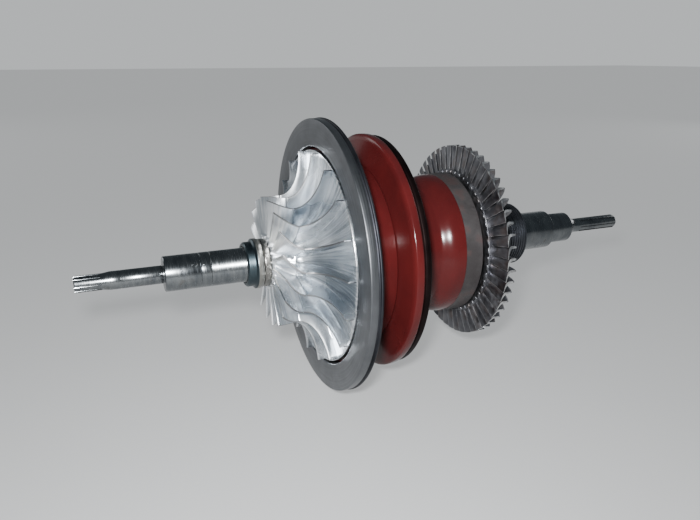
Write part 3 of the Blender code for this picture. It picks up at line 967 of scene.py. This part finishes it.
@dataclass
class Collars:
    """The stepped collar and the clamping ring in front of the inducer."""

    lathe: Lathe = Lathe(steps=96, arris=0.0006)
    start: float = -0.1247
    step: float = -0.112
    stop: float = -0.099
    clamp_start: float = -0.0987
    clamp_stop: float = -0.0873
    low: float = 0.0365
    high: float = 0.041
    clamp: float = 0.0395
    bore: float = 0.0303
    chamfer: float = 0.0025
    clamp_chamfer: float = 0.0015

    def build(self, rack: FinishRack) -> None:
        """Turns both rings.

        Args:
            rack: The finishes.
        """
        collar = self.lathe.turn("stepped_collar", [
            (self.start, self.low - self.chamfer), (self.start + self.chamfer, self.low),
            (self.step, self.low), (self.step + self.chamfer, self.high), (self.stop - 0.0040, self.high),
            (self.stop, self.clamp), (self.stop, self.bore), (self.start, self.bore)])
        report(collar, Body.ROTOR, Slot.DARK, rack.collar, "locating_collar")
        ring = self.lathe.turn("inducer_clamping_ring", [
            (self.clamp_start, self.clamp - self.clamp_chamfer), (self.clamp_start + 0.0015, self.clamp),
            (self.clamp_stop - 0.0018, self.clamp), (self.clamp_stop, self.clamp - self.clamp_chamfer),
            (self.clamp_stop, self.bore), (self.clamp_start, self.bore)])
        report(ring, Body.ROTOR, Slot.SHAFT, rack.clamp, "clamping_ring")


@dataclass
class CompressorWheel:
    """The two-piece compressor wheel: the inducer and the impeller behind it."""

    lathe: Lathe = Lathe(steps=180, arris=0.0)
    inlet: float = -0.087
    junction: float = -0.052
    back: float = 0.009
    tip_radius: float = 0.178
    inducer_radius: float = 0.107
    hub_inlet: float = 0.042
    hub_junction: float = 0.052
    tip_width: float = 0.014
    blades: int = 18
    first_blade: float = math.radians(6.6)
    junction_lean: float = math.radians(1.1)
    straightening: float = 1.5
    twist: float = math.radians(18.4)
    twist_power: float = 1.7
    inducer_columns: int = 14
    inducer_height: float = 0.060
    inducer_margins: Ends = (0.03, 0.02)
    impeller_columns: int = 22
    impeller_height: float = 0.050
    impeller_margins: Ends = (0.006, 0.006)
    hub_parts: int = 22
    root_sink: float = 0.004
    root_thickness: float = 0.0034
    edge_thickness: float = 0.0029
    fillet: float = 0.0050
    bore: float = 0.0303
    gap: float = 0.0003

    def hub(self, share: float) -> Point:
        """Returns the impeller's hub line at a share of the flow."""
        angle = share * math.pi / 2
        radius = between(self.hub_junction, self.tip_radius, 1 - math.cos(angle))
        return self.junction * (1 - math.sin(angle)), radius

    def shroud(self, share: float) -> Point:
        """Returns the impeller blades' outer edge at a share of the flow."""
        angle = share * math.pi / 2
        radius = between(self.inducer_radius, self.tip_radius, 1 - math.cos(angle))
        return between(self.junction, -self.tip_width, math.sin(angle)), radius

    def inducer_hub(self, share: float) -> Point:
        """Returns the inducer's hub line at a share of the flow."""
        return between(self.inlet, self.junction, share), between(self.hub_inlet, self.hub_junction, share)

    def inducer_shroud(self, share: float) -> Point:
        """Returns the inducer blades' outer edge at a share of the flow."""
        return between(self.inlet, self.junction, share), self.inducer_radius

    def inducer_lean(self, share: float) -> float:
        """Returns how far an inducer blade leans around the shaft at a share of the flow."""
        return self.junction_lean + self.twist * (1 - share) ** self.twist_power

    def impeller_lean(self, share: float) -> float:
        """Returns how far an impeller blade leans around the shaft at a share of the flow."""
        return self.junction_lean * (1 - share) ** self.straightening

    def sunk(self, foot: Line, edge: Line) -> Line:
        """Lays a foot line inside the hub, so that the blade joins it.

        Args:
            foot: The hub line.
            edge: The outer edge.

        Returns:
            The sunk foot line.
        """
        def line(share: float) -> Point:
            """Returns the sunk foot at a share of the flow."""
            low, high = Vector(foot(share)), Vector(edge(share))
            return tuple(low - (high - low).normalized() * self.root_sink)
        return line

    def weight(self, length: float) -> Callable[[float], float]:
        """Gives a blade's thickness, with the fillet at its root.

        Args:
            length: The blade's height, in metres.

        Returns:
            A function of the height that returns a share of the full thickness.
        """
        def share(height: float) -> float:
            """Returns the share at a height."""
            above = max(0.0, height * (length + self.root_sink) - self.root_sink)
            flare = 0.0
            if above < self.fillet:
                flare = self.fillet - math.sqrt(self.fillet ** 2 - (self.fillet - above) ** 2)
            wall = between(self.root_thickness, self.edge_thickness, height)
            return (wall + 2 * flare) / (self.root_thickness + 2 * self.fillet)
        return share

    def rows(self, length: float) -> tuple[float, ...]:
        """Spaces a blade's rows, which are dense in the fillet.

        Args:
            length: The blade's height, in metres.

        Returns:
            The rows' heights, as shares of the blade's height.
        """
        sink = self.root_sink
        near = (0.0, sink - 0.0004, sink + 0.0006, sink + 0.0018, sink + 0.0034, sink + self.fillet + 0.0004)
        return tuple([height / (length + sink) for height in near] + [0.45, 0.72, 1.0])

    def ring_of_blades(self, name: str, columns: int, foot: Line, edge: Line, lean: Callable[[float], float],
                       margins: Ends, length: float) -> Piece:
        """Shapes one blade, rounds its edges and repeats it around the wheel.

        Args:
            name: The blades' name.
            columns: Columns along the flow.
            foot: The hub line.
            edge: The outer edge.
            lean: Angle about the shaft at a share of the flow.
            margins: Shares of the flow left free at its start and end.
            length: A blade's typical height.

        Returns:
            All blades as one object.
        """
        sheet = BladeSheet(columns, self.rows(length), self.root_thickness + 2 * self.fillet)
        span = 1 - margins[0] - margins[1]
        blade = sheet.shape(name, self.sunk(foot, edge), edge, lambda share: self.first_blade - lean(share),
                            lambda column: margins[0] + span * column / columns, self.weight(length))
        Bench.soften(blade, 0.0006, angle=50.0)
        Bench.repeat_around(blade, self.blades, FULL_TURN / self.blades)
        return blade

    def finish_wheel(self, wheel: Piece, blades: Piece, finish: bpy.types.Material, node: str) -> None:
        """Unites a hub with its blades and dresses it.

        Args:
            wheel: The hub.
            blades: Its blades.
            finish: The wheel's material.
            node: The CAD node that it replaces.
        """
        Bench.combine(wheel, blades, "UNION")
        Bench.shade(wheel, 38.0)
        report(wheel, Body.ROTOR, Slot.WHEEL, finish, node)

    def build(self, rack: FinishRack) -> None:
        """Makes both pieces of the wheel.

        Args:
            rack: The finishes.
        """
        stop = self.junction - self.gap
        hub = self.lathe.turn("inducer", [
            (self.inlet, self.hub_inlet - 0.0015), (self.inlet + 0.0015, self.hub_inlet),
            *(self.inducer_hub(i / 8) for i in range(1, 8)), (stop, self.hub_junction), (stop, self.bore),
            (self.inlet, self.bore)])
        blades = self.ring_of_blades("inducer_blades", self.inducer_columns, self.inducer_hub,
                                     self.inducer_shroud, self.inducer_lean, self.inducer_margins,
                                     self.inducer_height)
        self.finish_wheel(hub, blades, rack.inducer, "inducer_wheel")
        hub = self.lathe.turn("impeller", [
            *(self.hub(i / self.hub_parts) for i in range(self.hub_parts)), (0.0, self.tip_radius - 0.0010),
            (0.0003, self.tip_radius - 0.0003), (0.0010, self.tip_radius), (0.0060, self.tip_radius),
            (self.back, self.tip_radius - 0.003), (self.back, 0.150), (self.back, self.bore),
            (self.junction, self.bore)])
        blades = self.ring_of_blades("impeller_blades", self.impeller_columns, self.hub, self.shroud,
                                     self.impeller_lean, self.impeller_margins, self.impeller_height)
        self.finish_wheel(hub, blades, rack.impeller, "impeller_wheel")


@dataclass
class TurbineWheel:
    """The axial turbine wheel: the disc, and the blades in nine sectors of six.

    Sizes that change along a blade are given at its root and at its tip.
    """

    lathe: Lathe = Lathe(steps=144, arris=0.0006)
    front: float = 0.260
    back: float = 0.293
    root: float = 0.130
    tip: float = 0.172
    sink: float = 0.0012
    rim: float = 0.1240
    web: float = 0.110
    hub: float = 0.062
    bore: float = 0.0403
    sectors: int = 9
    blades_per_sector: int = 6
    edge: Ends = (0.2635, 0.2672)
    bend: Ends = (0.0105, 0.0070)
    tail: Ends = (0.0160, 0.0095)
    tail_power: float = 4.0
    reach: Ends = (0.0115, 0.0189)
    fall: Ends = (0.0020, 0.0)
    bend_share: float = 0.62
    thin_edge: float = math.radians(3.0)
    thickness: float = 0.0046
    thin_end: float = 0.22
    blunt_end: float = 0.06
    shares: tuple[float, ...] = (0.0, 0.012, 0.06, 0.15, 0.26, 0.36, 0.45, 0.54, 0.62, 0.72, 0.86, 0.96, 1.0)
    heights: tuple[float, ...] = (0.0, 0.2, 0.4, 0.6, 0.8, 0.975, 1.0)
    platform_gap: float = 0.0004
    lip_size: Triple = (0.0026, 0.0096, 0.0066)
    lip_radius: float = 0.1258
    lip_lead: float = 0.0012

    def middle_line(self, share: float, height: float) -> Point:
        """Follows the blade's middle line.

        Args:
            share: Share of the line, from the thin edge to the edge that meets the gas.
            height: Share of the height from root to tip.

        Returns:
            How far the line is behind the blade's thin edge, and how far around the wheel.
        """
        bend, reach = between(*self.bend, height), between(*self.reach, height)
        if share < self.bend_share:
            turn = share / self.bend_share * math.pi / 2
            return bend * (1 - math.cos(turn) ** 0.8), reach * math.sin(turn) ** 0.8
        past = (share - self.bend_share) / (1 - self.bend_share)
        tail = between(*self.tail, height ** self.tail_power)
        return bend + tail * past, reach - between(*self.fall, height) * past ** 2

    def fullness(self, share: float) -> float:
        """Gives the section's thickness, which is greatest at the bend.

        Args:
            share: Share of the middle line.

        Returns:
            A share of the greatest thickness.
        """
        if share < self.bend_share:
            rise = math.sin(share / self.bend_share * math.pi / 2) ** 1.5
            return between(self.thin_end, 1.0, rise)
        past = (share - self.bend_share) / (1 - self.bend_share)
        return between(self.blunt_end, 1.0, (1 - 0.5 * past) * math.sqrt(max(0.0, 1 - past ** 8)))

    def blade(self) -> Piece:
        """Shapes one blade from a grid, whose rows give the chord and whose columns the bend.

        Returns:
            The blade.
        """
        across, rows = len(self.shares), len(self.heights) - 1
        blade = Bench.start(bpy.ops.mesh.primitive_grid_add, "turbine_blade", x_subdivisions=across - 1,
                            y_subdivisions=rows, size=1.0)
        Bench.enter()
        Bench.turn(-math.pi / 2, centre=ORIGIN)
        bpy.ops.transform.translate(value=(0.5, 0.0, 0.5))
        for j, up in enumerate(self.heights):
            radius = between(self.root - self.sink, self.tip, up)
            for i, share in enumerate(self.shares):
                Bench.select(blade, [j * across + i])
                behind, around = self.middle_line(share, up)
                station = FRONT + between(*self.edge, up) + behind
                move = (station - i / (across - 1), 0.0, AXIS_HEIGHT + radius - j / rows)
                bpy.ops.transform.translate(value=move)
                Bench.turn(around / radius - self.thin_edge)
        Bench.settle(blade)
        Bench.weigh(blade, (self.fullness(share) for _ in self.heights for share in self.shares))
        self.mark_wear_and_highlight(blade)
        Bench.thicken(blade, self.thickness, even=False)
        return blade

    def mark_wear_and_highlight(self, blade: Piece) -> None:
        """Marks the thin edge and the tip to be painted bright, in an attribute that the finish reads: partly
        wear, partly a painted highlight where tips and edges catch the light.

        Args:
            blade: The blade, whose vertices have their weights already.
        """
        across = len(self.shares)
        wear = blade.data.attributes.new("wear", "FLOAT", "POINT")
        for j, up in enumerate(self.heights):
            for i, share in enumerate(self.shares):
                wear.data[j * across + i].value = float(i == 0 or (up == 1.0 and share < 0.9))

    def platform(self, pitch: float) -> Piece:
        """Shapes the blade's root platform: a segment of a ring with a locking lip in front.

        Args:
            pitch: The angle from one blade to the next, in radians.

        Returns:
            The platform.
        """
        width = pitch - self.platform_gap / self.root
        outline = [(self.front - 0.001, self.rim + 0.0004), (self.back - 0.002, self.rim + 0.0004),
                   (self.back - 0.002, self.root - 0.0006), (self.back - 0.0026, self.root),
                   (self.front - 0.0004, self.root), (self.front - 0.001, self.root - 0.0006)]
        block = Bench.start(bpy.ops.mesh.primitive_circle_add, "root_platform", vertices=len(outline),
                            radius=0.01, fill_type="NGON")
        Bench.enter()
        for number, (station, radius) in enumerate(outline):
            Bench.select(block, [number])
            now = next(v.co.copy() for v in bmesh.from_edit_mesh(block.data).verts if v.select)
            bpy.ops.transform.translate(value=Vector((FRONT + station, 0.0, AXIS_HEIGHT + radius)) - now)
        bpy.ops.mesh.select_all(action="SELECT")
        Bench.turn(-width / 2)
        bpy.ops.mesh.spin(steps=3, angle=width, center=AXIS_POINT, axis=ALONG)
        Bench.close_up()
        Bench.settle(block)
        place = (FRONT + self.front - self.lip_lead, 0.0, AXIS_HEIGHT + self.lip_radius)
        lip = Bench.start(bpy.ops.mesh.primitive_cube_add, "locking_lip", size=1.0, location=place)
        Bench.enter()
        bpy.ops.transform.resize(value=self.lip_size)
        Bench.settle(lip)
        Bench.soften(lip, 0.0006, 1)
        Bench.join(block, [lip])
        return block

    def build(self, rack: FinishRack) -> None:
        """Turns the disc, and makes the sectors.

        Args:
            rack: The finishes.
        """
        front, back = self.front + 0.001, self.back - 0.003
        disc = self.lathe.turn("turbine_wheel_disc", [
            (self.front, self.hub), (self.front + 0.006, self.hub + 0.006), (self.front + 0.004, self.web),
            (front, self.rim - 0.006), (front, self.rim - 0.0003), (back, self.rim - 0.0003),
            (back, self.rim - 0.006), (self.back - 0.006, self.web), (self.back, self.hub),
            (self.back, self.bore), (self.front, self.bore)])
        report(disc, Body.ROTOR, Slot.TURBINE, rack.turbine, "turbine_disc")
        pitch = FULL_TURN / (self.sectors * self.blades_per_sector)
        sector = self.blade()
        Bench.join(sector, [self.platform(pitch)])
        sector.data.transform(turn_about_shaft(pitch * (self.blades_per_sector - 1) / 2))
        Bench.repeat_around(sector, self.blades_per_sector, pitch)
        Bench.shade(sector, 40.0)
        for i in range(self.sectors):
            name = f"turbine_blade_sector_{i + 1:02d}"
            copy = Bench.turned_copy(sector, name, i * FULL_TURN / self.sectors)
            report(copy, Body.ROTOR, Slot.TURBINE, rack.turbine, f"turbine_blades_{i + 1:02d}")
        bpy.data.objects.remove(sector, do_unlink=True)


@dataclass
class EndSeal:
    """The finned sleeve that seals the turbine end."""

    lathe: Lathe = Lathe(steps=96, arris=0.0)
    start: float = 0.2933
    stop: float = 0.392
    bore: float = 0.0403
    crest: float = 0.057
    root: float = 0.0548
    pitch: float = 0.0050
    crest_width: float = 0.0009
    root_width: float = 0.0018
    plain_end: float = 0.0015

    def build(self, rack: FinishRack) -> None:
        """Turns the sleeve with its fins.

        Args:
            rack: The finishes.
        """
        outline: Outline = [(self.start, self.root)]
        station = self.start + self.pitch
        crest, root = self.crest_width / 2, self.root_width / 2
        while station < self.stop - self.plain_end:
            outline += [(station - root, self.root), (station - crest, self.crest),
                        (station + crest, self.crest), (station + root, self.root)]
            station += self.pitch
        outline += [(self.stop, self.root), (self.stop, self.bore), (self.start, self.bore)]
        seal = self.lathe.turn("finned_end_seal", outline)
        report(seal, Body.ROTOR, Slot.DARK, rack.seal, "turbine_end_seal")


@dataclass
class PartitionWall:
    """The wall: machined ring, dark carrier, red castings, drum and the bare ring at its end."""

    lathe: Lathe = Lathe(steps=180, arris=0.0007)
    cast: Lathe = Lathe(steps=180, arris=0.0020, segments=3)
    fine: Lathe = Lathe(steps=180, arris=0.0011)
    smooth: Lathe = Lathe(steps=180, arris=0.0)
    gap: float = 0.0003
    wall: float = 0.010
    ring_radius: float = 0.228
    carrier_radius: float = 0.229
    ring_bore: float = 0.183
    split: float = 0.0133
    carrier_end: float = 0.020
    plate: Ends = (0.0145, 0.0245)
    bush_bore: float = 0.064
    neck_radius: float = 0.151
    neck_end: float = 0.0805
    flange_radius: float = 0.200
    flange_end: float = 0.1025
    flange_bore: float = 0.130
    backing_radius: float = 0.197
    backing_end: float = 0.114
    backing_bore: float = 0.110
    drum_end: float = 0.220
    drum_bore: float = 0.115
    waist: float = 0.157
    waist_radius: float = 0.1095
    swell: Ends = (0.179, 0.218)
    steepness: float = 4.6
    drum_start_radius: float = 0.127
    drum_end_radius: float = 0.1235
    end_ring_radius: float = 0.1245
    end_ring_end: float = 0.252
    end_ring_bore: float = 0.100
    corner: float = 0.003

    def build_rings(self, rack: FinishRack) -> None:
        """Turns the machined ring and its dark carrier.

        Args:
            rack: The finishes.
        """
        r, stop, bore = self.ring_radius, self.split - self.gap, self.ring_bore
        ring = self.lathe.turn("faced_diffuser_ring", [
            (0.0, r - 0.0012), (0.0012, r), (stop - 0.0008, r), (stop, r - 0.0008), (stop, bore + 0.0008),
            (stop - 0.0008, bore), (0.0022, bore), (0.0, bore + 0.0016)])
        report(ring, Body.WALL, Slot.RING, rack.ring, "diffuser_ring")
        r, stop = self.carrier_radius, self.carrier_end
        carrier = self.lathe.turn("carrier_flange", [
            (self.split, r - 0.0030), (self.split + 0.0018, r - 0.0028), (self.split + 0.0030, r),
            (stop - 0.0012, r), (stop, r - 0.0012), (stop, bore), (self.split, bore)])
        report(carrier, Body.WALL, Slot.DARK, rack.carrier, "carrier_ring")

    def build_castings(self, rack: FinishRack) -> None:
        """Makes the red plate, neck and flange, and the backing ring.

        Args:
            rack: The finishes.
        """
        start, stop = self.plate
        r = self.ring_bore - self.gap
        plate = self.cast.turn("painted_wall_plate", [
            (start, r), (stop, r), (stop, self.bush_bore), (start, self.bush_bore)])
        report(plate, Body.WALL, Slot.PAINT, rack.paint, "partition_plate")
        start, stop, r = stop + self.gap, self.neck_end - self.gap, self.neck_radius
        neck = self.cast.turn("painted_neck", [
            (start, r + 0.0005), (start + 0.02, r), (stop, r), (stop, r - self.wall), (start, r - self.wall)])
        report(neck, Body.WALL, Slot.PAINT, rack.paint, "neck_casting")
        start, stop, r = self.neck_end, self.flange_end, self.flange_radius
        flange = self.fine.turn("painted_outlet_flange", [
            (start, self.neck_radius + 0.002), (start + 0.0010, self.neck_radius + 0.006),
            (start + 0.0038, r - 0.010), (start + 0.0050, r - 0.004), (start + 0.0075, r), (stop - 0.004, r),
            (stop, r - 0.004), (stop, self.flange_bore), (start, self.flange_bore)])
        report(flange, Body.WALL, Slot.PAINT, rack.paint, "outlet_flange")
        start, stop, r = self.flange_end + self.gap, self.backing_end, self.backing_radius
        backing = self.lathe.turn("dark_backing_ring", [
            (start, r - 0.002), (start + 0.002, r), (stop - 0.002, r), (stop, r - 0.002),
            (stop, self.backing_bore), (start, self.backing_bore)])
        report(backing, Body.WALL, Slot.DARK, rack.backing, "backing_ring")

    def drum_line(self, start: float, steps: int) -> Outline:
        """Draws the drum's outer line from the backing ring to its end.

        Args:
            start: The drum's first station.
            steps: Parts of the line in front of the waist; behind it there are twice as many.

        Returns:
            The line's points.
        """
        shares = [i / steps for i in range(steps)]
        line = [(between(start, self.waist, share),
                 between(self.waist_radius, self.drum_start_radius, (1 - share) ** 2)) for share in shares]
        line.append((self.waist, self.waist_radius))
        for share in [i / steps / 2 for i in range(steps * 2 + 1)]:
            rise = (1 - math.exp(-self.steepness * share ** 1.7)) / (1 - math.exp(-self.steepness))
            line.append((between(*self.swell, share), between(self.waist_radius, self.drum_end_radius, rise)))
        return line + [(self.drum_end, self.drum_end_radius)]

    def build_drum(self, rack: FinishRack) -> None:
        """Makes the waisted drum and the bare ring.

        Args:
            rack: The finishes.
        """
        start, stop, r = self.backing_end + self.gap, self.drum_end, self.drum_end_radius
        drum = self.smooth.turn("painted_exhaust_drum", self.drum_line(start, 14) + [
            (stop, r - self.wall), (self.waist, self.waist_radius - self.wall), (start, self.drum_bore)])
        report(drum, Body.WALL, Slot.PAINT, rack.paint, "exhaust_drum")
        start, stop, corner = self.drum_end + self.gap, self.end_ring_end, self.corner
        ring = self.smooth.turn("bare_drum_end_ring", [
            (start, r + 0.0002), (start + 0.0015, self.end_ring_radius - 0.0008),
            *arc((stop - corner, self.end_ring_radius - corner), corner, 90, 0, 6),
            (stop, self.end_ring_bore), (start, self.end_ring_bore)])
        report(ring, Body.WALL, Slot.CASTING, rack.casting, "bare_end_ring")

    def build(self, rack: FinishRack) -> None:
        """Makes the whole wall.

        Args:
            rack: The finishes.
        """
        self.build_rings(rack)
        self.build_castings(rack)
        self.build_drum(rack)


def dress_kept_nodes(rack: FinishRack) -> None:
    """Gives the CAD nodes that stay in view the finishes of their neighbours.

    Args:
        rack: The finishes.
    """
    finishes = {"air_seal_sleeve": rack.shaft, "gas_seal_sleeve": rack.shaft, "end_cover": rack.casting,
                "air_seal_bush": rack.casting, "gas_seal_bush": rack.casting}
    for name, finish in finishes.items():
        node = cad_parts[name]
        for slot in node.material_slots:
            slot.material = finish
        log.info("%s keeps its shape", name)


# Studio

@dataclass(frozen=True)
class Lamp:
    """A round area lamp."""

    name: str
    size: float
    power: float
    colour: Colour = (1.0, 1.0, 1.0)

    def hang(self, place: Vector, aim: Vector) -> None:
        """Hangs the lamp.

        Args:
            place: Where it hangs.
            aim: What it points at.
        """
        data = bpy.data.lights.new(self.name, "AREA")
        data.shape = "DISK"
        data.size = self.size
        data.energy = self.power
        data.color = self.colour
        lamp = bpy.data.objects.new(self.name, data)
        lamp.location = place
        lamp.rotation_euler = (aim - place).to_track_quat("-Z", "Y").to_euler()
        bpy.context.scene.collection.objects.link(lamp)


@dataclass(frozen=True)
class Studio:
    """Camera, floor and lights."""

    azimuth: float = math.radians(-22.515764)
    elevation: float = math.radians(17.458027)
    distance: float = 1.10052
    shift_right: float = 0.05779
    shift_up: float = -0.0068
    focal_pixels: float = 650.0
    frame_width: float = 700.0
    sensor: float = 36.0
    floor_height: float = AXIS_HEIGHT - 0.229
    floor_size: float = 60.0
    floor_glow: float = 0.42
    floor_tone: Colour = (0.22, 0.22, 0.22)
    glow_tone: Colour = (0.97, 0.99, 1.0)
    aim: Triple = (0.05, 0.0, AXIS_HEIGHT)
    flash: Lamp = Lamp("flash", size=0.10, power=38.0, colour=(0.97, 0.99, 1.0))
    flash_lift: float = 0.10
    flash_left: float = 0.05
    left_fill: Lamp = Lamp("fill_left", size=2.2, power=36.0)
    left_place: Triple = (-3.2, 4.4, 2.1)
    right_fill: Lamp = Lamp("fill_right", size=2.2, power=34.0)
    right_place: Triple = (5.2, 1.6, 0.95)
    room_tone: Colour = (0.115, 0.135, 0.15)
    pale_tone: Colour = (0.58, 0.60, 0.61)
    pale_height: Ends = (0.09, 0.20)
    pale_side: Ends = (0.15, 0.55)

    def axes(self) -> tuple[Vector, Vector, Vector]:
        """Works out how the camera stands.

        Returns:
            The camera's right, up and back directions.
        """
        a, e = self.azimuth, self.elevation
        back = Vector((math.sin(a) * math.cos(e), -math.cos(a) * math.cos(e), math.sin(e)))
        right = Vector((math.cos(a), math.sin(a), 0.0))
        return right, back.cross(right), back

    def place_camera(self) -> Vector:
        """Places the camera at the photograph's angle.

        Returns:
            The camera's position.
        """
        right, up, back = self.axes()
        centre = Vector((FRONT, 0.0, AXIS_HEIGHT))
        place = centre + back * self.distance + right * self.shift_right + up * self.shift_up
        data = bpy.data.cameras.new("camera")
        data.sensor_width = self.sensor
        data.lens = self.focal_pixels / self.frame_width * self.sensor
        camera = bpy.data.objects.new("camera", data)
        turn = Matrix((right, up, back)).transposed().to_4x4()
        camera.matrix_world = Matrix.Translation(place) @ turn
        bpy.context.scene.collection.objects.link(camera)
        bpy.context.scene.camera = camera
        return place

    def lay_floor(self) -> None:
        """Lays a plain pale floor under the part."""
        floor = Bench.start(bpy.ops.mesh.primitive_grid_add, "studio_floor", x_subdivisions=8,
                            y_subdivisions=8, size=self.floor_size, location=(0.0, 0.0, self.floor_height))
        material = bpy.data.materials.new("pale_floor")
        material.use_nodes = True
        shader = material.node_tree.nodes["Principled BSDF"]
        shader.inputs["Base Color"].default_value = (*self.floor_tone, 1.0)
        shader.inputs["Roughness"].default_value = 0.9
        shader.inputs["Specular IOR Level"].default_value = 0.0
        shader.inputs["Emission Color"].default_value = (*self.glow_tone, 1.0)
        shader.inputs["Emission Strength"].default_value = self.floor_glow
        floor.data.materials.append(material)

    def paint_room(self) -> None:
        """Surrounds the part with a dim room whose far side has a pale band low down."""
        world = bpy.data.worlds.new("studio")
        bpy.context.scene.world = world
        world.use_nodes = True
        tree = world.node_tree
        background = tree.nodes["Background"]
        place = tree.nodes.new("ShaderNodeTexCoord")
        split = tree.nodes.new("ShaderNodeSeparateXYZ")
        tree.links.new(place.outputs["Generated"], split.inputs["Vector"])
        ramp = tree.nodes.new("ShaderNodeValToRGB")
        for stop, position, tone in zip(ramp.color_ramp.elements, self.pale_height,
                                        (self.pale_tone, self.room_tone)):
            stop.position = position
            stop.color = (*tone, 1.0)
        tree.links.new(split.outputs["Z"], ramp.inputs["Fac"])
        side = tree.nodes.new("ShaderNodeMapRange")
        side.inputs["From Min"].default_value, side.inputs["From Max"].default_value = self.pale_side
        tree.links.new(split.outputs["Y"], side.inputs["Value"])
        mix = tree.nodes.new("ShaderNodeMix")
        mix.data_type = "RGBA"
        mix.inputs[6].default_value = (*self.room_tone, 1.0)
        tree.links.new(side.outputs["Result"], mix.inputs[0])
        tree.links.new(ramp.outputs["Color"], mix.inputs[7])
        tree.links.new(mix.outputs[2], background.inputs["Color"])
        background.inputs["Strength"].default_value = 1.0

    def set_up(self) -> None:
        """Places everything that isn't part of the object: camera, floor, a flash and two soft fills."""
        place, aim = self.place_camera(), Vector(self.aim)
        right, up, _ = self.axes()
        self.lay_floor()
        self.flash.hang(place + up * self.flash_lift - right * self.flash_left, aim)
        self.left_fill.hang(Vector(self.left_place), aim)
        self.right_fill.hang(Vector(self.right_place), aim)
        self.paint_room()


def main() -> None:
    """Builds the object's sub-assemblies in order."""
    Studio().set_up()
    rack = FinishRack()
    for assembly in (Shaft(), Collars(), CompressorWheel(), TurbineWheel(), EndSeal(), PartitionWall()):
        assembly.build(rack)
        log.info("%s is made", type(assembly).__name__)
    dress_kept_nodes(rack)


if __name__ == "__main__":
    main()
